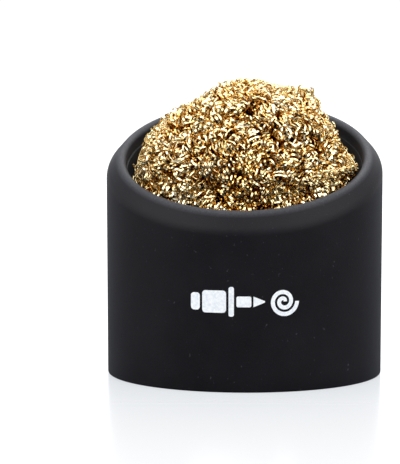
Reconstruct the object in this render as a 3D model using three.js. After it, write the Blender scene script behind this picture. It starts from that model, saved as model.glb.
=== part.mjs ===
// Soldering tip cleaner: a wad of curled brass wool in a one-piece silicone holder with an oblique rim.
// Millimetres, +Z up, origin at the centre of the base. -Y is the front, where the rim is lowest.
import * as THREE from 'three';
import { mergeVertices } from 'three/addons/utils/BufferGeometryUtils.js';

// Holder
const baseRadius = 34.8;          // outer wall at the table
const wallRadius = 35;            // outer wall at the shoulder, a very slight draft
const baseEdge = 0.6;             // small bevel round the bottom edge
const floorThickness = 5;
const floorFillet = 3;
const cavityRadius = 29.7;
const lipInnerRadius = 30.05;     // the mouth, above a narrow ledge
const ledgeDepth = 3.2;           // from the crest down to the ledge
const crestRadius = 31.35;        // where the rim is highest, on each radius
const crestRounding = 1.3;
const crestHeight = 55.7;         // at the sides; the front is lower and the back is higher
const shoulderDrop = 3.5;         // from the crest down to where bevel and wall would meet
const shoulderRounding = 3;
const rimSlant = THREE.MathUtils.degToRad(20.8);
const holderSegments = 72;
const arcSteps = 4;               // facets along each small rounding
const crestSteps = 8;             // facets over the crest
const slantedAbove = 20;          // everything on the holder above this height follows the slant

const mergeDistance = 1e-4;

// Brass wool
const woolGap = 0.3;              // above the holder's floor
const woolRadius = 29.2;
const woolBottomRounding = 5;
const domeBase = 44.5;            // the height where the sides begin to close over
const domeTop = 75;
const woolSegments = 48;
const domeRings = 14;

// Bulges of the wad: where each one stands on the dome, how far it reaches and how far it swells
const bulges = [
  { at: [-20, -17, 57], reach: 9, swell: 1.4 },
  { at: [2, -15, 69], reach: 9, swell: 1.6 },
  { at: [15, -14, 65], reach: 8, swell: 1.3 },
  { at: [26, -9, 54], reach: 8, swell: 1.0 },
  { at: [3, -27, 51], reach: 9, swell: 1.2 },
  { at: [18, 3, 70], reach: 6, swell: 2.0 },
  { at: [-4, 16, 69], reach: 10, swell: 0.9 },
];

// Where the wad is pressed in: both shoulders, and behind, where the cup's wall is high
const dents = [
  { at: [-14, 2, 71], reach: 9, swell: -1.6 },
  { at: [27, 4, 60], reach: 7, swell: -1.8 },
  { at: [0, 28, 60], reach: 11, swell: -3.4 },
];

const siliconeMaterial = new THREE.MeshStandardMaterial({ color: 0x1c1b1f, roughness: 0.55, metalness: 0 });
const brassMaterial = new THREE.MeshStandardMaterial({ color: 0xc9a35a, roughness: 0.3, metalness: 1 });

// Points along an arc, from one angle to another, in degrees
function arc(centreRadius, centreHeight, radius, from, to, steps) {
  const points = [];
  for (let i = 0; i <= steps; i++) {
    const angle = THREE.MathUtils.degToRad(from + ((to - from) * i) / steps);
    const r = centreRadius + radius * Math.cos(angle);
    points.push(new THREE.Vector2(r, centreHeight + radius * Math.sin(angle)));
  }
  return points;
}

// LatheGeometry turns about Y, so the profile's height is stood up along +Z
function turned(profile, segments) {
  const geometry = new THREE.LatheGeometry(profile, segments);
  geometry.rotateX(Math.PI / 2);
  geometry.deleteAttribute('normal');
  geometry.deleteAttribute('uv');
  return mergeVertices(geometry, mergeDistance);
}

// Moves every vertex of a geometry by a function of its place
function reshape(geometry, move) {
  const place = geometry.attributes.position;
  const point = new THREE.Vector3();
  for (let i = 0; i < place.count; i++) {
    point.fromBufferAttribute(place, i);
    move(point);
    place.setXYZ(i, point.x, point.y, point.z);
  }
  geometry.computeVertexNormals();
  return geometry;
}

// The rim's section: a rounded shoulder, a conical bevel and a rounded crest
function rimSection() {
  const crestCentre = crestHeight - crestRounding;
  const toCorner = new THREE.Vector2(wallRadius - crestRadius, -shoulderDrop + crestRounding);
  const turn = Math.acos(crestRounding / toCorner.length());
  const bevelNormal = THREE.MathUtils.radToDeg(toCorner.angle() - 2 * Math.PI + turn);
  const tangent = shoulderRounding * Math.tan(THREE.MathUtils.degToRad(bevelNormal / 2));
  const shoulderCentre = crestHeight - shoulderDrop - tangent;
  return [
    ...arc(wallRadius - shoulderRounding, shoulderCentre, shoulderRounding, 0, bevelNormal, arcSteps),
    ...arc(crestRadius, crestCentre, crestRounding, bevelNormal, 180, crestSteps),
  ];
}

function holder() {
  const ledgeHeight = crestHeight - ledgeDepth;
  const filletRadius = cavityRadius - floorFillet;
  const profile = [
    new THREE.Vector2(0, 0),
    new THREE.Vector2(baseRadius - baseEdge, 0),
    new THREE.Vector2(baseRadius, baseEdge),
    ...rimSection(),
    new THREE.Vector2(lipInnerRadius, ledgeHeight),
    new THREE.Vector2(cavityRadius, ledgeHeight),
    ...arc(filletRadius, floorThickness + floorFillet, floorFillet, 0, -90, arcSteps),
    new THREE.Vector2(0, floorThickness),
  ];
  const geometry = reshape(turned(profile, holderSegments), (point) => {
    if (point.z > slantedAbove) point.z += Math.tan(rimSlant) * point.y;
  });
  const mesh = new THREE.Mesh(geometry, siliconeMaterial);
  mesh.name = 'holder';
  return mesh;
}

// How far a bulge or dent moves the surface at a point, outwards from the middle of the dome
function swellAt(point, place) {
  const distance = point.distanceTo(new THREE.Vector3(...place.at));
  return place.swell * Math.exp(-((distance / place.reach) ** 2));
}

function brassWool() {
  const bottom = floorThickness + woolGap;
  const profile = [new THREE.Vector2(0, bottom)];
  const roundingCentre = woolRadius - woolBottomRounding;
  profile.push(...arc(roundingCentre, bottom + woolBottomRounding, woolBottomRounding, -90, 0, arcSteps));
  for (let ring = 0; ring < domeRings; ring++) {
    const angle = (Math.PI / 2) * (ring / domeRings);
    const height = domeBase + (domeTop - domeBase) * Math.sin(angle);
    profile.push(new THREE.Vector2(woolRadius * Math.cos(angle), height));
  }
  profile.push(new THREE.Vector2(0, domeTop));

  const middle = new THREE.Vector3(0, 0, domeBase);
  const outward = new THREE.Vector3();
  const geometry = reshape(turned(profile, woolSegments), (point) => {
    if (point.z < domeBase) return;
    outward.subVectors(point, middle).normalize();
    let swell = 0;
    for (const place of [...bulges, ...dents]) swell += swellAt(point, place);
    point.addScaledVector(outward, swell);
    const reach = Math.hypot(point.x, point.y);
    if (reach > woolRadius) {
      point.x *= woolRadius / reach;
      point.y *= woolRadius / reach;
    }
  });
  const mesh = new THREE.Mesh(geometry, brassMaterial);
  mesh.name = 'brass_wool';
  return mesh;
}

const group = new THREE.Group();
group.add(holder(), brassWool());

export default group;
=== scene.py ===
"""Soldering tip cleaner: curled brass wool in a black silicone cup with a sloping rim."""
from math import acos, atan2, cos, degrees, hypot, pi, radians, sin, tan

import bmesh
import bpy
import numpy as np
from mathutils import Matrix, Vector
from mathutils.bvhtree import BVHTree
from mathutils.noise import noise_vector, seed_set


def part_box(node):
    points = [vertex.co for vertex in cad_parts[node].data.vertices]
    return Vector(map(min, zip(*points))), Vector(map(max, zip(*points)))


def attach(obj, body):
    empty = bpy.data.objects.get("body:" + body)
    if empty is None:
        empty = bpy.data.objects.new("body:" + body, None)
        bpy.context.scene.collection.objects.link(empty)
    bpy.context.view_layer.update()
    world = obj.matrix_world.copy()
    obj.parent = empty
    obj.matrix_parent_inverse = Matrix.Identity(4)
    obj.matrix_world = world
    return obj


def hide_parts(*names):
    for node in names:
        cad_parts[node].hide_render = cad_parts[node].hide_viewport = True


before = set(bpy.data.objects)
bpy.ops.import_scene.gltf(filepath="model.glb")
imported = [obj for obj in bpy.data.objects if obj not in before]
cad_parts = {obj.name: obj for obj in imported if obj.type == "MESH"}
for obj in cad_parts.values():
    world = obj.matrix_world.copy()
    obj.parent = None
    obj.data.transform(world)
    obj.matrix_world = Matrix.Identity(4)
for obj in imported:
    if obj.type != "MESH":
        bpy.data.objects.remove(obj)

MM = 0.001
CAMERA_DISTANCE = 600 * MM
CAMERA_HEIGHT = 92 * MM
CAMERA_DOWN = 5.35                # degrees that the camera looks down
CAMERA_LEFT = 1.08                # degrees that it looks past the cup's axis, to the left
LENS = 183.6
SENSOR_WIDTH = 36
FRONT_TURN = radians(2.3)         # the camera, and the mark that faces it, are a little to the right
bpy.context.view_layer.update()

# The cup, as the CAD model has it
cup_low, cup_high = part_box("holder")
WALL_RADIUS = (cup_high.x - cup_low.x) / 2
WALL_DRAFT = 0.2 * MM
BASE_RADIUS = WALL_RADIUS - WALL_DRAFT
BASE_EDGE = 0.6 * MM
FLOOR = 5 * MM
FLOOR_FILLET = 3 * MM
CAVITY_RADIUS = 29.7 * MM
LIP_INNER_RADIUS = 30.05 * MM
LEDGE_DEPTH = 3.2 * MM
CREST_RADIUS = 31.35 * MM
CREST_ROUNDING = 1.3 * MM
CREST_HEIGHT = 55.7 * MM
SHOULDER_DROP = 3.5 * MM
SHOULDER_ROUNDING = 3 * MM
RIM_SLANT = radians(20.8)
SLANTED_ABOVE = 20 * MM
SLANT_ZONE = CREST_HEIGHT - 2 * SLANTED_ABOVE    # the height over which the slope sets in
CUP_SEGMENTS = 256
PAINTED_HIGHLIGHT_DEPTH = 0.9 * MM           # how far down from the crest the silicone is painted paler, a painted highlight

# The wool, as the CAD model has it
wool_low, wool_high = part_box("brass_wool")
WOOL_SPREAD = 0.2 * MM            # how far ribbons may stand outside the CAD solid's side
WOOL_RADIUS = wool_high.x + WOOL_SPREAD
LIP_CLEARANCE = 0.2 * MM
MOUTH_ROOM = LIP_INNER_RADIUS - LIP_CLEARANCE
LEDGE_CLEARANCE = 0.5 * MM        # this far over the ledge, a ribbon has the mouth's wider room
DOME_BASE = 44.5 * MM
LAYERS_MEET = DOME_BASE - 6 * MM  # the height where the dome's layers end and the side layer starts

# The curled ribbon
RIBBON_WIDTH = 0.38 * MM
RIBBON_THICKNESS = 0.09 * MM
CURL_RADIUS = 1.35 * MM
CURL_PITCH = 1.05 * MM
SECTIONS_PER_CURL = 12
TRIANGLES_PER_SECTION = 8
MOST_TRIANGLES = 180_000          # in one piece

# How each ribbon differs, as shares of the sizes above
WIDTH_SHARES = 0.8, 1.3
RADIUS_SHARES = 0.7, 1.3
PITCH_SHARES = 0.7, 1.5

# How a ribbon changes along its length; a rate is in waves for each turn of the curl
SLOW_RATES = 0.1, 0.25
PITCH_WAVE = 0.45
RADIUS_WAVE = 0.15
RADIUS_WAVE_RATE = 1.7            # times the slow rate
BIG_KINK, BIG_KINK_RATE = 0.08, 1.4
SMALL_KINK, SMALL_KINK_RATE = 0.04, 3.7
MOST_TILT = 0.4                   # radians that a ribbon lies tilted on its curl
TILT_WAVE, TILT_WAVE_RATE = 0.3, 0.31

# The guide line that a ribbon curls round
GUIDE_LENGTHS = 6, 14             # mm
GUIDE_STEP = 0.9 * MM
GUIDE_CHOICES = 16                # places tried for each ribbon; the roomiest is taken
WANDER = 0.12                     # radians that the line turns aside at each step
DEPTH_WAVE = 0.2                  # share of the depth
DEPTH_WAVE_LENGTHS = 5, 12        # mm
DEPTH_NOISE = 0.06 * MM
LOOSE_ENDS = 0.08                 # share of the ribbons whose end springs up
LOOSE_RISE = 1.6 * MM
LOOSE_START = -1.5                # a line from here to 1 passes 0 where the end starts to rise

# The bundle of ribbons that are pulled nearly straight, in mm
BUNDLE_START = (17, -23, 51)
BUNDLE_END = (29.5, -5, 53.3)
START_SPREAD, END_SPREAD = 1.1, 0.7
BUNDLE_POINTS = 14
BUNDLE_DEPTHS = -0.6, 0.8
BUNDLE_NOISE = 0.1
BUNDLE_RADII = 0.2, 0.5
BUNDLE_PITCHES = 3, 5

CORE_DEPTH = 4.2 * MM
MERGE_DISTANCE = 0.01 * MM

# The printed mark; it stands just outside the cup's wall, and its back is sunk in the wall
MARK_HEIGHT = 22.2 * MM
MARK_RADIUS = WALL_RADIUS - 0.03 * MM
BAR_STEPS = 25
CONE_STEPS = 7
SPIRAL_STEPS = 36                 # in each turn

# Floor and light
FLOOR_SIZE = 40                   # metres
FLOOR_SHADE_REACH = 135 * MM      # the floor's glow is painted a little grey near the cup, a painted shadow and reflection of the cup, and white beyond
LIGHT_DISTANCE = 0.6
LIGHT_AIM = (0, 0, 50 * MM)

# Sockets of a Mix node that mixes colours
FIRST_COLOUR, SECOND_COLOUR, MIXED_COLOUR = 6, 7, 2

# Lobes of the wad, in mm: the surface sinks a little in the valleys where two lobes meet
LOBES = [
    (-20, -17, 57), (-24, -6, 52), (-14, -24, 50), (-9, -16, 67), (2, -17, 68), (13, -15, 67),
    (20, -6, 65), (26, -10, 53), (21, -20, 50), (3, -27, 51), (10, -24, 55), (-4, -22, 60),
    (2, -2, 75), (14, 2, 72), (-14, 0, 69), (-22, 8, 60), (-10, 14, 67), (4, 15, 69), (18, 13, 63),
    (0, 23, 57), (-16, 20, 54), (16, 21, 54), (26, 6, 55),
]
VALLEY_DEPTH = 0.6 * MM
VALLEY_REACH = 3.5 * MM

# Hollows between the curls, in mm: where each one is, how far it reaches and how deep it is
HOLLOWS = [
    ((-9, -27, 50), 2.4, 3.2), ((-6, -28, 49), 2.4, 3.2), ((15, -25, 48.5), 2.8, 3.2),
    ((3, -27, 58), 1.7, 1.5), ((5, -28, 54.5), 1.5, 1.2), ((22, -13, 61), 2.0, 1.1),
    ((-4, -21, 66.5), 2.0, 0.6), ((14, -15, 68), 2.0, 0.6), ((-13, -19, 63), 1.8, 0.7),
    ((10, -23, 60.5), 2.2, 0.9), ((-14, 6, 69), 2.5, 2.0), ((8, 10, 71), 2.5, 2.0),
    ((-24, 6, 54), 2.6, 2.0), ((22, 12, 58), 2.6, 2.0), ((-27, -10, 47), 2.0, 2.0),
    ((-29, -4, 48), 5.0, 1.2), ((-12, -1, 72), 5.5, 1.3), ((7, 2, 74), 4.0, 0.7),
    ((0, -29, 45.5), 3.5, 1.8), ((-10, -27.5, 46), 3.5, 1.8), ((10, -27.5, 46), 3.5, 1.6),
]

# The way that the curls lie turns slowly over the wad
FLOW_SEED = 1
FLOW_SCALE = 65                   # noise cells in a metre
FLOW_JITTER = 0.75                # radians that one ribbon lies aside from the flow
FLOW_LEVEL = 0.35                 # how strongly the ribbons run round the wad, level with the table


# ---------------------------------------------------------------- shader nodes

def grey(level):
    return (level, level, level)


def new_material(name):
    material = bpy.data.materials.new(name)
    material.use_nodes = True
    nodes = material.node_tree.nodes
    return material, nodes, material.node_tree.links, nodes["Principled BSDF"]


def noise(nodes, links, scale, detail=3, roughness=0.5):
    """A noise texture in the object's own space; scale is in cells per metre."""
    place = nodes.new("ShaderNodeTexCoord")
    texture = nodes.new("ShaderNodeTexNoise")
    texture.inputs["Scale"].default_value = scale
    texture.inputs["Detail"].default_value = detail
    texture.inputs["Roughness"].default_value = roughness
    links.new(place.outputs["Object"], texture.inputs["Vector"])
    return texture.outputs["Fac"]


def colours(nodes, links, value, stops):
    """A colour ramp over a value; stops are (position, colour) pairs."""
    ramp = nodes.new("ShaderNodeValToRGB")
    links.new(value, ramp.inputs["Fac"])
    elements = ramp.color_ramp.elements
    while len(elements) < len(stops):
        elements.new(0.5)
    for element, (position, colour) in zip(elements, stops):
        element.position = position
        element.color = (*colour, 1)
    return ramp.outputs["Color"]


def spread(nodes, links, value, low, high, from_low=0.3, from_high=0.7):
    """Maps a value onto another range."""
    remap = nodes.new("ShaderNodeMapRange")
    remap.inputs["From Min"].default_value = from_low
    remap.inputs["From Max"].default_value = from_high
    remap.inputs["To Min"].default_value = low
    remap.inputs["To Max"].default_value = high
    links.new(value, remap.inputs["Value"])
    return remap.outputs["Result"]


def attribute(nodes, name):
    """A value that the mesh carries on its vertices."""
    node = nodes.new("ShaderNodeAttribute")
    node.attribute_name = name
    return node.outputs["Fac"]


def mix_node(nodes, links, first, second):
    mix = nodes.new("ShaderNodeMix")
    mix.data_type = "RGBA"
    links.new(first, mix.inputs[FIRST_COLOUR])
    links.new(second, mix.inputs[SECOND_COLOUR])
    return mix


def blended(nodes, links, amount, first, second):
    """Goes from the first colour to the second as the amount goes from 0 to 1."""
    mix = mix_node(nodes, links, first, second)
    links.new(amount, mix.inputs["Factor"])
    return mix.outputs[MIXED_COLOUR]


def multiplied(nodes, links, first, second):
    mix = mix_node(nodes, links, first, second)
    mix.blend_type = "MULTIPLY"
    mix.inputs["Factor"].default_value = 1
    return mix.outputs[MIXED_COLOUR]


def bump(nodes, links, height, distance):
    node = nodes.new("ShaderNodeBump")
    node.inputs["Distance"].default_value = distance
    node.inputs["Strength"].default_value = 1
    links.new(height, node.inputs["Height"])
    return node.outputs["Normal"]


# ---------------------------------------------------------------- camera, floor and light

def placed(name, data):
    """A new object in the scene for a mesh, a camera or a light."""
    thing = bpy.data.objects.new(name, data)
    bpy.context.collection.objects.link(thing)
    return thing


def make_camera():
    data = bpy.data.cameras.new("camera")
    data.sensor_width = SENSOR_WIDTH
    data.lens = LENS
    data.clip_start, data.clip_end = 0.01, 100
    camera = placed("camera", data)
    x, y = CAMERA_DISTANCE * sin(FRONT_TURN), -CAMERA_DISTANCE * cos(FRONT_TURN)
    camera.location = (x, y, CAMERA_HEIGHT)
    camera.rotation_euler = (radians(90 - CAMERA_DOWN), 0, FRONT_TURN + radians(CAMERA_LEFT))
    bpy.context.scene.camera = camera


def make_floor():
    bpy.ops.mesh.primitive_plane_add(size=FLOOR_SIZE)
    floor = bpy.context.object
    floor.name = "floor"
    material, nodes, links, shader = new_material("white_floor")
    shader.inputs["Base Color"].default_value = (0.2, 0.2, 0.2, 1)
    shader.inputs["Roughness"].default_value = 0.18
    place = nodes.new("ShaderNodeTexCoord")
    away = nodes.new("ShaderNodeVectorMath")
    away.operation = "LENGTH"
    links.new(place.outputs["Object"], away.inputs[0])
    reach = spread(nodes, links, away.outputs["Value"], 0, 1, 0, FLOOR_SHADE_REACH)
    # painted shadow and reflection of the cup: the floor's glow is grey near the cup and white further
    # out
    tint = colours(nodes, links, reach, [(0.2, (0.80, 0.83, 0.87)), (1, (0.98, 0.99, 1))])
    links.new(tint, shader.inputs["Emission Color"])
    shader.inputs["Emission Strength"].default_value = 0.75
    floor.data.materials.append(material)
    floor.visible_glossy = False


def softbox(name, azimuth, elevation, width, height, radiance):
    """A soft light that faces the object; azimuth 0 is in front, and 90 on the right."""
    data = bpy.data.lights.new(name, "AREA")
    data.shape = "RECTANGLE"
    data.size, data.size_y = width, height
    data.energy = radiance * pi * width * height
    lamp = placed(name, data)
    aim = Vector(LIGHT_AIM)
    a, e = radians(azimuth), radians(elevation)
    place = aim + LIGHT_DISTANCE * Vector((sin(a) * cos(e), -cos(a) * cos(e), sin(e)))
    lamp.location = place
    lamp.rotation_euler = (aim - place).to_track_quat("-Z", "Y").to_euler()


def make_lights():
    softbox("top_light", 0, 76, 1.1, 0.85, 1.2)
    softbox("left_light", -65, 38, 0.6, 0.6, 2.35)
    softbox("right_light", 65, 38, 0.6, 0.6, 2.35)
    softbox("back_light", 168, 46, 0.5, 0.35, 2.2)


def make_world():
    """A pale studio: a bright band above the horizon, which is wider behind the object."""
    world = bpy.data.worlds.new("studio")
    bpy.context.scene.world = world
    world.use_nodes = True
    nodes, links = world.node_tree.nodes, world.node_tree.links
    place = nodes.new("ShaderNodeTexCoord")
    split = nodes.new("ShaderNodeSeparateXYZ")
    links.new(place.outputs["Generated"], split.inputs["Vector"])
    up = spread(nodes, links, split.outputs["Z"], 0, 1, -0.03, 1)
    ahead = spread(nodes, links, split.outputs["Y"], 0, 1, -0.3, 0.8)
    near = colours(nodes, links, up, [
        (0, grey(0.03)), (0.004, grey(1.05)), (0.08, grey(1.05)),
        (0.13, grey(0.06)), (0.5, grey(0.2)), (1, grey(0.5)),
    ])
    far = colours(nodes, links, up, [
        (0, grey(0.03)), (0.004, grey(1.05)), (0.2, grey(1.05)), (0.5, grey(0.55)), (1, grey(0.25)),
    ])
    links.new(blended(nodes, links, ahead, near, far), nodes["Background"].inputs["Color"])
    bpy.context.scene.view_settings.view_transform = "Standard"


# ---------------------------------------------------------------- materials

def silicone_material():
    """Black silicone with pale dust specks; along the rim's crest it is painted a little paler, a painted
    highlight.
    """
    material, nodes, links, shader = new_material("black_silicone")
    clouds = noise(nodes, links, scale=60, detail=4, roughness=0.6)
    grain = noise(nodes, links, scale=2600, detail=2, roughness=0.6)
    dust = noise(nodes, links, scale=1300, detail=1)
    tone = colours(nodes, links, clouds, [
        (0.3, (0.0055, 0.0052, 0.0075)), (0.7, (0.008, 0.0077, 0.0105)),
    ])
    # this pale colour serves both the dust specks and the painted highlight on the crest
    dust_and_highlight = colours(nodes, links, grain, [(0.3, (0.035, 0.036, 0.042)), (0.7, (0.07, 0.072, 0.082))])
    specks = spread(nodes, links, dust, 0, 0.7, 0.73, 0.85)
    dusty = blended(nodes, links, specks, tone, dust_and_highlight)
    # painted highlight: the base colour is painted paler along the rim's crest
    painted_highlight = blended(nodes, links, attribute(nodes, "painted_highlight"), dusty, dust_and_highlight)
    links.new(painted_highlight, shader.inputs["Base Color"])
    links.new(spread(nodes, links, clouds, 0.46, 0.56), shader.inputs["Roughness"])
    links.new(bump(nodes, links, grain, 0.03 * MM), shader.inputs["Normal"])
    shader.inputs["Specular IOR Level"].default_value = 0.13
    shader.inputs["Sheen Weight"].default_value = 0.06
    shader.inputs["Sheen Roughness"].default_value = 0.4
    shader.inputs["Sheen Tint"].default_value = (0.78, 0.84, 1, 1)
    return material


def brass_material():
    """Bright brass, painted a deep brown down between the curls: painted shade that deepens with a
    ribbon's depth under the wad's surface.
    """
    material, nodes, links, shader = new_material("bright_brass")
    patches = noise(nodes, links, scale=160, detail=3, roughness=0.6)
    scratches = noise(nodes, links, scale=2400, detail=2, roughness=0.5)
    tone = colours(nodes, links, patches, [
        (0.32, (0.84, 0.66, 0.33)), (0.5, (0.92, 0.78, 0.46)), (0.68, (0.96, 0.87, 0.62)),
    ])
    # painted shade: the brass is painted darker and browner the deeper it lies under the wad's surface
    sunken = spread(nodes, links, attribute(nodes, "depth"), 0, 1, 0, 4)
    shade = colours(nodes, links, sunken, [
        (0.1, (1, 1, 1)), (0.4, (0.88, 0.62, 0.28)), (0.75, (0.26, 0.11, 0.02)),
    ])
    links.new(multiplied(nodes, links, tone, shade), shader.inputs["Base Color"])
    links.new(spread(nodes, links, patches, 0.10, 0.2), shader.inputs["Roughness"])
    links.new(bump(nodes, links, scratches, 0.02 * MM), shader.inputs["Normal"])
    shader.inputs["Metallic"].default_value = 1
    shader.inputs["Specular Tint"].default_value = (0.85, 0.56, 0.22, 1)
    return material


def core_material():
    """Near-black colour painted as brass in deep shade, which shows only at the bottom of the gaps:
    painted shade.
    """
    material, nodes, links, shader = new_material("painted_shade_brass")
    tangle = noise(nodes, links, scale=700, detail=3, roughness=0.6)
    # painted shade: a near-black tone for the wad's hidden inside
    tone = colours(nodes, links, tangle, [(0.35, (0.004, 0.002, 0.001)), (0.65, (0.06, 0.03, 0.01))])
    links.new(tone, shader.inputs["Base Color"])
    links.new(spread(nodes, links, tangle, 0.35, 0.6), shader.inputs["Roughness"])
    links.new(bump(nodes, links, tangle, 0.8 * MM), shader.inputs["Normal"])
    shader.inputs["Metallic"].default_value = 1
    return material


def ink_material():
    """White ink with a faint mottle."""
    material, nodes, links, shader = new_material("white_ink")
    mottle = noise(nodes, links, scale=1500, detail=3, roughness=0.6)
    tone = colours(nodes, links, mottle, [(0.3, (0.66, 0.71, 0.77)), (0.6, (0.84, 0.87, 0.9))])
    links.new(tone, shader.inputs["Base Color"])
    links.new(spread(nodes, links, mottle, 0.45, 0.6), shader.inputs["Roughness"])
    links.new(bump(nodes, links, mottle, 0.01 * MM), shader.inputs["Normal"])
    return material


# ---------------------------------------------------------------- meshes

def mesh_object(name, vertices, faces, material):
    mesh = bpy.data.meshes.new(name)
    mesh.from_pydata(vertices, [], faces)
    mesh.update()
    mesh.materials.append(material)
    return placed(name, mesh)


def arc(radius, height, rounding, start, end, steps):
    """Profile points along an arc, between two angles in degrees."""
    angles = [radians(start + (end - start) * i / steps) for i in range(steps + 1)]
    return [(radius + rounding * cos(a), height + rounding * sin(a)) for a in angles]


def straight(start, end, steps):
    """Profile points between two others, without the two."""
    return [tuple(s + (e - s) * i / steps for s, e in zip(start, end)) for i in range(1, steps)]


def cup_profile():
    """The cup's section from the middle of its underside round to the middle of its floor."""
    crest_centre = CREST_HEIGHT - CREST_ROUNDING
    across, down = WALL_RADIUS - CREST_RADIUS, CREST_ROUNDING - SHOULDER_DROP
    bevel = degrees(atan2(down, across) + acos(CREST_ROUNDING / hypot(across, down)))
    shoulder_height = CREST_HEIGHT - SHOULDER_DROP - SHOULDER_ROUNDING * tan(radians(bevel / 2))
    shoulder_radius = WALL_RADIUS - SHOULDER_ROUNDING
    shoulder = arc(shoulder_radius, shoulder_height, SHOULDER_ROUNDING, 0, bevel, steps=10)
    crest = arc(CREST_RADIUS, crest_centre, CREST_ROUNDING, bevel, 180, steps=20)
    edge = arc(BASE_RADIUS - BASE_EDGE, BASE_EDGE, BASE_EDGE, -90, 0, steps=5)
    fillet = arc(CAVITY_RADIUS - FLOOR_FILLET, FLOOR + FLOOR_FILLET, FLOOR_FILLET, 0, -90, steps=8)
    top = CREST_HEIGHT - LEDGE_DEPTH
    ledge = [
        (LIP_INNER_RADIUS, top + 0.15 * MM), (LIP_INNER_RADIUS - 0.1 * MM, top),
        (CAVITY_RADIUS + 0.06 * MM, top), (CAVITY_RADIUS, top - 0.1 * MM),
    ]
    wall = straight(edge[-1], shoulder[0], steps=12)
    slope = straight(shoulder[-1], crest[0], steps=4)
    cavity = straight((CAVITY_RADIUS, top), fillet[0], steps=8)
    return [*edge, *wall, *shoulder, *slope, *crest, *ledge, *cavity, *fillet]


def slant(radius, height, angle):
    """A point of the cup: the upper part follows the rim's slope, and the lower part is level."""
    x, y = radius * cos(angle), radius * sin(angle)
    share = min(max((height - SLANTED_ABOVE) / SLANT_ZONE, 0), 1)
    return x, y, height + tan(RIM_SLANT) * y * share


def turned_cup(profile):
    """The cup's vertices, column by column and then the two middles, and its faces."""
    rings, vertices, faces = len(profile), [], []
    for i in range(CUP_SEGMENTS):
        angle = 2 * pi * i / CUP_SEGMENTS
        vertices += [slant(radius, height, angle) for radius, height in profile]
    columns = [(i * rings, (i + 1) % CUP_SEGMENTS * rings) for i in range(CUP_SEGMENTS)]
    for here, there in columns:
        faces += [(here + k, there + k, there + k + 1, here + k + 1) for k in range(rings - 1)]
    under, floor = len(vertices), len(vertices) + 1
    vertices += [(0, 0, 0), (0, 0, FLOOR)]
    for here, there in columns:
        faces += [(under, there, here), (floor, here + rings - 1, there + rings - 1)]
    return vertices, faces


def make_holder():
    profile = cup_profile()
    vertices, faces = turned_cup(profile)
    holder = mesh_object("holder_cup", vertices, faces, silicone_material())
    holder.data.shade_smooth()
    # painted highlight: weights that paint the silicone paler near the crest
    painted_highlight = [min(max((height - CREST_HEIGHT) / PAINTED_HIGHLIGHT_DEPTH + 1, 0), 1) for _, height in profile]
    painted_highlight = painted_highlight * CUP_SEGMENTS + [0, 0]
    holder.data.attributes.new("painted_highlight", "FLOAT", "POINT").data.foreach_set("value", painted_highlight)
    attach(holder, "holder")
    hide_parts("holder")


# ---------------------------------------------------------------- brass wool

lobe_places = np.array(LOBES) * MM
hollow_places = np.array([place for place, _, _ in HOLLOWS]) * MM
hollow_reach = np.array([reach for _, reach, _ in HOLLOWS]) * MM
hollow_depth = np.array([depth for _, _, depth in HOLLOWS]) * MM


def distances(places, others):
    """A table of the distances from each of some places to each of some others."""
    return np.linalg.norm(places[:, None] - others[None], axis=2)


def sunk(places):
    """How far the wad's surface is sunk at some places, in the valleys and in the hollows."""
    nearest = np.partition(distances(places, lobe_places), 1, axis=1)
    closeness = 1 - np.minimum((nearest[:, 1] - nearest[:, 0]) / VALLEY_REACH, 1)
    valley = VALLEY_DEPTH * closeness ** 2 * (3 - 2 * closeness)
    away = distances(places, hollow_places) / hollow_reach
    return valley + (hollow_depth * np.exp(-away ** 2)).sum(1)


def surface_of(node):
    """A node's CAD solid, for finding the nearest point of its surface."""
    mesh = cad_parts[node].data
    return BVHTree.FromPolygons([v.co for v in mesh.vertices], [tuple(p.vertices) for p in mesh.polygons])


def triangles_of(node):
    """A node's CAD triangles, and each one's share of their area."""
    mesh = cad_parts[node].data
    mesh.calc_loop_triangles()
    corners = np.array([[mesh.vertices[i].co for i in t.vertices] for t in mesh.loop_triangles])
    area = np.linalg.norm(np.cross(corners[:, 1] - corners[:, 0], corners[:, 2] - corners[:, 0]), axis=1)
    return corners, area / area.sum()


def scattered(rng, corners, shares, zone):
    """Random places on the triangles, even over their area and between two heights."""
    chosen = corners[rng.choice(len(corners), size=8 * GUIDE_CHOICES, p=shares)]
    u, v = np.sort(rng.random((2, len(chosen), 1)), axis=0)
    places = chosen[:, 0] * u + chosen[:, 1] * (v - u) + chosen[:, 2] * (1 - v)
    return places[(places[:, 2] >= zone[0]) & (places[:, 2] < zone[1])][:GUIDE_CHOICES]


def roomiest(places, taken):
    """The one of some places that is furthest from all the places taken so far."""
    return places[distances(places, taken).min(1).argmax()] if len(taken) else places[0]


def flow(place, normal, aside):
    """The way that the curls lie at a place, turned aside by an angle, along the surface."""
    heading = noise_vector(place * FLOW_SCALE) + FLOW_LEVEL * Vector((-normal.y, normal.x, 0))
    heading = (heading - normal * heading.dot(normal)).normalized()
    return heading * cos(aside) + normal.cross(heading) * sin(aside)


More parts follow.
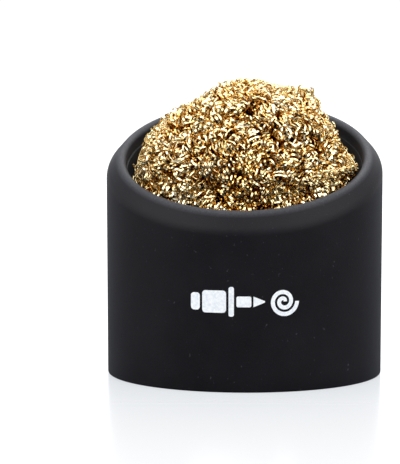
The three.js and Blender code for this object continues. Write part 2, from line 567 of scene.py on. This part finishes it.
def guide_line(surface, rng, start, length, depth):
    """A line that wanders under the wad's surface: the points above it, its normals and its depths."""
    place, aside = Vector(start), rng.normal(0, FLOW_JITTER)
    wave, phase = rng.uniform(*DEPTH_WAVE_LENGTHS) * MM, rng.random() * 2 * pi
    above, normals = [], []
    steps = int(length / GUIDE_STEP)
    for _ in range(steps):
        near, normal, _, _ = surface.find_nearest(place)
        above.append(near)
        normals.append(normal)
        aside += rng.normal(0, WANDER)
        place = near + flow(near, normal, aside) * GUIDE_STEP
    waves = np.sin(np.arange(steps) * GUIDE_STEP / wave * 2 * pi + phase)
    depths = depth * (1 + DEPTH_WAVE * waves) + rng.normal(0, DEPTH_NOISE, steps)
    if rng.random() < LOOSE_ENDS:
        depths -= LOOSE_RISE * np.linspace(LOOSE_START, 1, steps).clip(0)
    return np.array(above), np.array(normals), depths


def unit(vectors):
    return vectors / np.linalg.norm(vectors, axis=1, keepdims=True)


def along_line(places, values, place):
    """Values given along a line, read at other places along it."""
    return np.stack([np.interp(place, places, values[:, k]) for k in range(values.shape[1])], 1)


def curled_ribbon(rng, points, normals, depths, radius, pitch):
    """A ribbon that curls round a line: four corners and a depth for each of its sections."""
    width = RIBBON_WIDTH * rng.uniform(*WIDTH_SHARES)
    places = np.concatenate([[0], np.cumsum(np.linalg.norm(np.diff(points, axis=0), axis=1))])
    count = int(places[-1] / pitch * SECTIONS_PER_CURL)
    turn = np.arange(count) / SECTIONS_PER_CURL * 2 * pi + rng.random() * 2 * pi
    slow, phase, other = rng.uniform(*SLOW_RATES), rng.random() * 2 * pi, rng.random() * 2 * pi
    step = pitch / SECTIONS_PER_CURL * (1 + PITCH_WAVE * np.sin(turn * slow + phase))
    place = np.minimum(np.cumsum(step), places[-1])
    centre = along_line(places, points, place)
    axis = unit(np.gradient(centre, axis=0) + 1e-9)
    outward = along_line(places, normals, place)
    outward = unit(outward - axis * (outward * axis).sum(1, keepdims=True))
    side = np.cross(axis, outward)
    radial = outward * np.cos(turn)[:, None] + side * np.sin(turn)[:, None]
    big = BIG_KINK * np.sin(turn * BIG_KINK_RATE + other)
    small = SMALL_KINK * np.sin(turn * SMALL_KINK_RATE + phase)
    reach = radius * (1 + RADIUS_WAVE * np.sin(turn * slow * RADIUS_WAVE_RATE + other) + (big + small))
    line = centre + radial * reach[:, None]
    depth = np.interp(place, places, depths) - reach * np.cos(turn)
    forward = unit(np.gradient(line, axis=0))
    across = unit(np.cross(forward, radial))
    face = np.cross(across, forward)
    tilt = rng.uniform(-MOST_TILT, MOST_TILT) + TILT_WAVE * np.sin(turn * TILT_WAVE_RATE + phase)
    turned = across * np.cos(tilt)[:, None] + face * np.sin(tilt)[:, None]
    thick = np.cross(turned, forward) * RIBBON_THICKNESS / 2
    wide = turned * width / 2
    lower, upper = [line - wide - thick, line + wide - thick], [line + wide + thick, line - wide + thick]
    return np.stack(lower + upper, 1), depth


def held_in_cup(ribbon):
    """Presses a ribbon back inside the cup's wall, or over its mouth, which is a little wider."""
    reach = np.hypot(ribbon[..., 0], ribbon[..., 1])
    ledge = CREST_HEIGHT - LEDGE_DEPTH + tan(RIM_SLANT) * ribbon[..., 1]
    room = np.where(ribbon[..., 2] > ledge + LEDGE_CLEARANCE, MOUTH_ROOM, WOOL_RADIUS)
    ribbon[..., :2] *= np.minimum(room / np.maximum(reach, 1e-9), 1)[..., None]
    ribbon[..., 2] = np.maximum(ribbon[..., 2], wool_low.z)
    return ribbon


def ribbon_faces(count, first):
    """Quads round a ribbon of so many sections, and its two ends."""
    section = first + 4 * np.arange(count - 1)[:, None]
    k, n = np.arange(4)[None, :], (np.arange(4)[None, :] + 1) % 4
    sides = np.stack([section + k, section + n, section + 4 + n, section + 4 + k], -1).reshape(-1, 4)
    last = first + 4 * (count - 1)
    ends = [[first + 3, first + 2, first + 1, first], [last, last + 1, last + 2, last + 3]]
    return np.concatenate([sides, np.array(ends)])


def ribbon_mesh(name, ribbons):
    """One mesh of many ribbons, smooth along each ribbon and sharp along its edges."""
    vertices = np.concatenate([corners.reshape(-1, 3) for corners, _ in ribbons])
    depths = np.concatenate([np.repeat(depth, 4) for _, depth in ribbons])
    firsts = np.cumsum([0] + [len(depth) * 4 for _, depth in ribbons])
    faces = np.concatenate([ribbon_faces(len(depth), f) for (_, depth), f in zip(ribbons, firsts)])
    mesh = bpy.data.meshes.new(name)
    mesh.vertices.add(len(vertices))
    mesh.vertices.foreach_set("co", vertices.ravel())
    mesh.loops.add(faces.size)
    mesh.loops.foreach_set("vertex_index", faces.ravel())
    mesh.polygons.add(len(faces))
    mesh.polygons.foreach_set("loop_start", np.arange(len(faces)) * 4)
    mesh.update(calc_edges=True)
    ends = np.zeros(len(mesh.edges) * 2, int)
    mesh.edges.foreach_get("vertices", ends)
    lengthwise = ends[::2] % 4 == ends[1::2] % 4
    mesh.attributes.new("sharp_edge", "BOOLEAN", "EDGE").data.foreach_set("value", lengthwise)
    mesh.shade_smooth()
    mesh.attributes["sharp_edge"].data.foreach_set("value", lengthwise)
    # the depth under the wad's surface, which paints shade on the brass
    mesh.attributes.new("depth", "FLOAT", "POINT").data.foreach_set("value", depths / MM)
    return mesh


def ribbon_pieces(name, ribbons, material):
    """Pieces of a limited size for a list of ribbons."""
    most = MOST_TRIANGLES // TRIANGLES_PER_SECTION
    sections = np.cumsum([len(depth) for _, depth in ribbons])
    for number in range(sections[-1] // most + 1):
        part = [ribbon for ribbon, total in zip(ribbons, sections) if total // most == number]
        piece_name = f"{name}_{number + 1}"
        mesh = ribbon_mesh(piece_name, part)
        mesh.materials.append(material)
        piece = placed(piece_name, mesh)
        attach(piece, "wool")


def make_layer(name, seed, loops, depth_range, zone, material):
    """A layer of curled ribbons under the wad's surface, as even as a tangle is."""
    rng = np.random.default_rng(seed)
    surface = surface_of("brass_wool")
    corners, shares = triangles_of("brass_wool")
    ribbons, taken, made = [], np.zeros((0, 3)), 0
    while made < loops:
        start = roomiest(scattered(rng, corners, shares, zone), taken)
        length = rng.uniform(*GUIDE_LENGTHS) * MM
        above, normals, depths = guide_line(surface, rng, start, length, rng.uniform(*depth_range))
        points = above - normals * (depths + sunk(above))[:, None]
        radius = CURL_RADIUS * rng.uniform(*RADIUS_SHARES)
        pitch = CURL_PITCH * rng.uniform(*PITCH_SHARES)
        ribbon, depth = curled_ribbon(rng, points, normals, depths, radius, pitch)
        ribbons.append((held_in_cup(ribbon), depth))
        taken = np.concatenate([taken, above[::2]])
        made += len(depth) / SECTIONS_PER_CURL
    ribbon_pieces(name, ribbons, material)


def make_bundle(name, seed, count, material):
    """Ribbons pulled nearly straight, side by side along the wad's surface."""
    rng = np.random.default_rng(seed)
    surface = surface_of("brass_wool")
    ribbons = []
    for _ in range(count):
        start = np.array(BUNDLE_START) * MM + rng.normal(0, START_SPREAD * MM, 3)
        end = np.array(BUNDLE_END) * MM + rng.normal(0, END_SPREAD * MM, 3)
        share = np.linspace(0, 1, BUNDLE_POINTS)[:, None]
        nearest = [surface.find_nearest(Vector(place)) for place in start * (1 - share) + end * share]
        above = np.array([near for near, _, _, _ in nearest])
        normals = np.array([normal for _, normal, _, _ in nearest])
        depths = rng.uniform(*BUNDLE_DEPTHS) * MM + rng.normal(0, BUNDLE_NOISE * MM, len(above))
        points = above - normals * depths[:, None]
        radius = rng.uniform(*BUNDLE_RADII) * MM
        pitch = rng.uniform(*BUNDLE_PITCHES) * MM
        ribbon, depth = curled_ribbon(rng, points, normals, depths, radius, pitch)
        ribbons.append((held_in_cup(ribbon), depth))
    ribbon_pieces(name, ribbons, material)


def make_core():
    """The inside of the wad as a dark sheet of painted shade: its CAD surface sunk under the ribbons."""
    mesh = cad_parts["brass_wool"].data
    body = bmesh.new()
    body.from_mesh(mesh)
    bmesh.ops.remove_doubles(body, verts=body.verts, dist=MERGE_DISTANCE)
    bmesh.ops.subdivide_edges(body, edges=body.edges, cuts=1, use_grid_fill=True)
    body.normal_update()
    depths = CORE_DEPTH + sunk(np.array([vertex.co for vertex in body.verts]))
    for vertex, depth in zip(body.verts, depths):
        vertex.co -= vertex.normal * depth
    core = bpy.data.meshes.new("wool_core")
    body.to_mesh(core)
    body.free()
    core.materials.clear()
    core.materials.append(core_material())
    core.shade_smooth()
    piece = placed("wool_core", core)
    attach(piece, "wool")
    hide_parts("brass_wool")


def make_wool():
    brass = brass_material()
    dome, sides = (LAYERS_MEET, 1), (0, LAYERS_MEET)
    seed_set(FLOW_SEED)
    make_core()
    make_layer("wool_inner", 11, 4000, (3.0 * MM, 4.0 * MM), dome, brass)
    make_layer("wool_outer", 12, 7400, (1.6 * MM, 2.3 * MM), dome, brass)
    make_layer("wool_sides", 13, 4000, (1.5 * MM, 2.6 * MM), sides, brass)
    make_bundle("wool_bundle", 14, 16, brass)


# ---------------------------------------------------------------- printed mark

def bar(start, end, half, rounding):
    """The upper and lower edges, in mm, of a bar along x with rounded corners."""
    x = start + (end - start) * (1 - np.cos(np.linspace(0, pi, BAR_STEPS))) / 2
    inset = np.minimum(np.minimum(x - start, end - x), rounding)
    height = half - rounding + np.sqrt(rounding ** 2 - (rounding - inset) ** 2)
    return np.stack([x, height], 1), np.stack([x, -height], 1)


def cone(start, end, half, point):
    """The same two edges for a bar that narrows to a point."""
    x = np.linspace(start, end, CONE_STEPS)
    height = np.linspace(half, point, CONE_STEPS)
    return np.stack([x, height], 1), np.stack([x, -height], 1)


def spiral(centre, inner, outer, turns, stroke):
    """The outer and inner edges of a stroke that winds outwards."""
    angle = np.linspace(0, 2 * pi * turns, int(SPIRAL_STEPS * turns))
    radius = np.linspace(inner, outer, len(angle))
    ray = np.stack([np.cos(angle), np.sin(angle)], 1)
    middle = np.array([centre, 0])
    outside = middle + ray * (radius + stroke / 2)[:, None]
    inside = middle + ray * (radius - stroke / 2)[:, None]
    return outside, inside


def on_wall(points, radius):
    """Flat points of the mark, in mm, wrapped round the front of the cup at a radius."""
    angle = points[:, 0] * MM / radius + FRONT_TURN
    height = MARK_HEIGHT + points[:, 1] * MM
    return np.stack([radius * np.sin(angle), -radius * np.cos(angle), height], 1)


def make_mark():
    """A plain pictogram in white ink: a soldering iron beside a curl of wool."""
    strips = [
        bar(-13.2, -10.9, half=2.1, rounding=0.8),
        bar(-10.3, -4.4, half=2.7, rounding=0.8),
        bar(-3.8, -2.5, half=3.6, rounding=0.5),
        bar(-1.9, 1.7, half=1.3, rounding=0.4),
        cone(2.2, 5.0, half=1.3, point=0.15),
        spiral(9.6, inner=0.3, outer=3.45, turns=2.0, stroke=1.0),
    ]
    vertices, faces = [], []
    for upper, lower in strips:
        back = [on_wall(upper, BASE_RADIUS), on_wall(lower, BASE_RADIUS)]
        front = [on_wall(lower, MARK_RADIUS), on_wall(upper, MARK_RADIUS)]
        corners = np.stack(back + front, 1)
        faces += ribbon_faces(len(corners), len(vertices)).tolist()
        vertices += corners.reshape(-1, 3).tolist()
    mark = mesh_object("printed_mark", vertices, faces, ink_material())
    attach(mark, "holder")


# ---------------------------------------------------------------- the whole

make_camera()
make_floor()
make_lights()
make_world()
make_holder()
make_wool()
make_mark()
